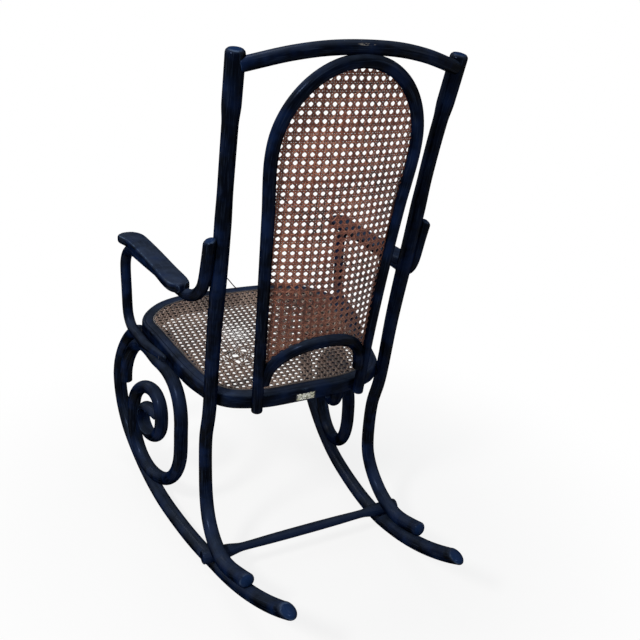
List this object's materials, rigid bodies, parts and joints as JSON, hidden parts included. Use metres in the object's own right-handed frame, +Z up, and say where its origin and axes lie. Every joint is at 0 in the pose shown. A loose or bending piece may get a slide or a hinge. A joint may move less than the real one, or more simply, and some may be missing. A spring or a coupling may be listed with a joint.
{
  "type": "rocking chair",
  "caption": "Bentwood rocking chair with scrolled side frames, caned seat, tall hooped cane back and flat arm pads on bent arms.",
  "frame": {"origin": "middle of the footprint's bounding box, on the floor", "axes": "+Z up, the chair faces -Y, +X is the sitter's left"},
  "size_m": [0.5748, 0.9028, 1.0897],
  "materials": {
    "lacquer": "near-black glossy lacquer on bent beech, worn at the edges",
    "back_cane": "woven cane, reddish brown",
    "seat_cane": "woven cane, brown and greyed",
    "reed": "reed lacquered with the frame",
    "brass": "dull, bare",
    "steel": "darkened"
  },
  "bodies": {
    "root": {"left_rocker": "lacquer", "right_rocker": "lacquer", "left_side_scroll": "lacquer", "right_side_scroll": "lacquer", "left_rear_post": "lacquer", "right_rear_post": "lacquer", "rear_stretcher": "lacquer", "seat_ring": "lacquer", "crest_rail": "lacquer", "back_hoop": "lacquer", "lower_back_arch": "lacquer", "left_arm_bow": "lacquer", "right_arm_bow": "lacquer", "left_arm_pad": "lacquer", "right_arm_pad": "lacquer", "left_pad_dowel_front": "lacquer", "right_pad_dowel_front": "lacquer", "left_pad_dowel_rear": "lacquer", "right_pad_dowel_rear": "lacquer", "seat_cane_panel": "seat_cane", "seat_cane_spline": "reed", "back_cane_panel": "back_cane", "blank_plate": "brass", "left_plate_nail": "brass", "right_plate_nail": "brass", "left_post_screw": "steel", "right_post_screw": "steel", "left_hoop_screw": "steel", "right_hoop_screw": "steel", "left_foot_screw": "steel", "right_foot_screw": "steel", "left_stretcher_screw": "steel", "right_stretcher_screw": "steel", "left_scroll_screw": "steel", "right_scroll_screw": "steel", "left_curl_screw": "steel", "right_curl_screw": "steel", "left_crest_screw": "steel", "right_crest_screw": "steel", "left_arch_screw": "steel", "right_arch_screw": "steel", "left_bow_screw": "steel", "right_bow_screw": "steel", "left_tip_screw": "steel", "right_tip_screw": "steel"}
  },
  "joints": []
}
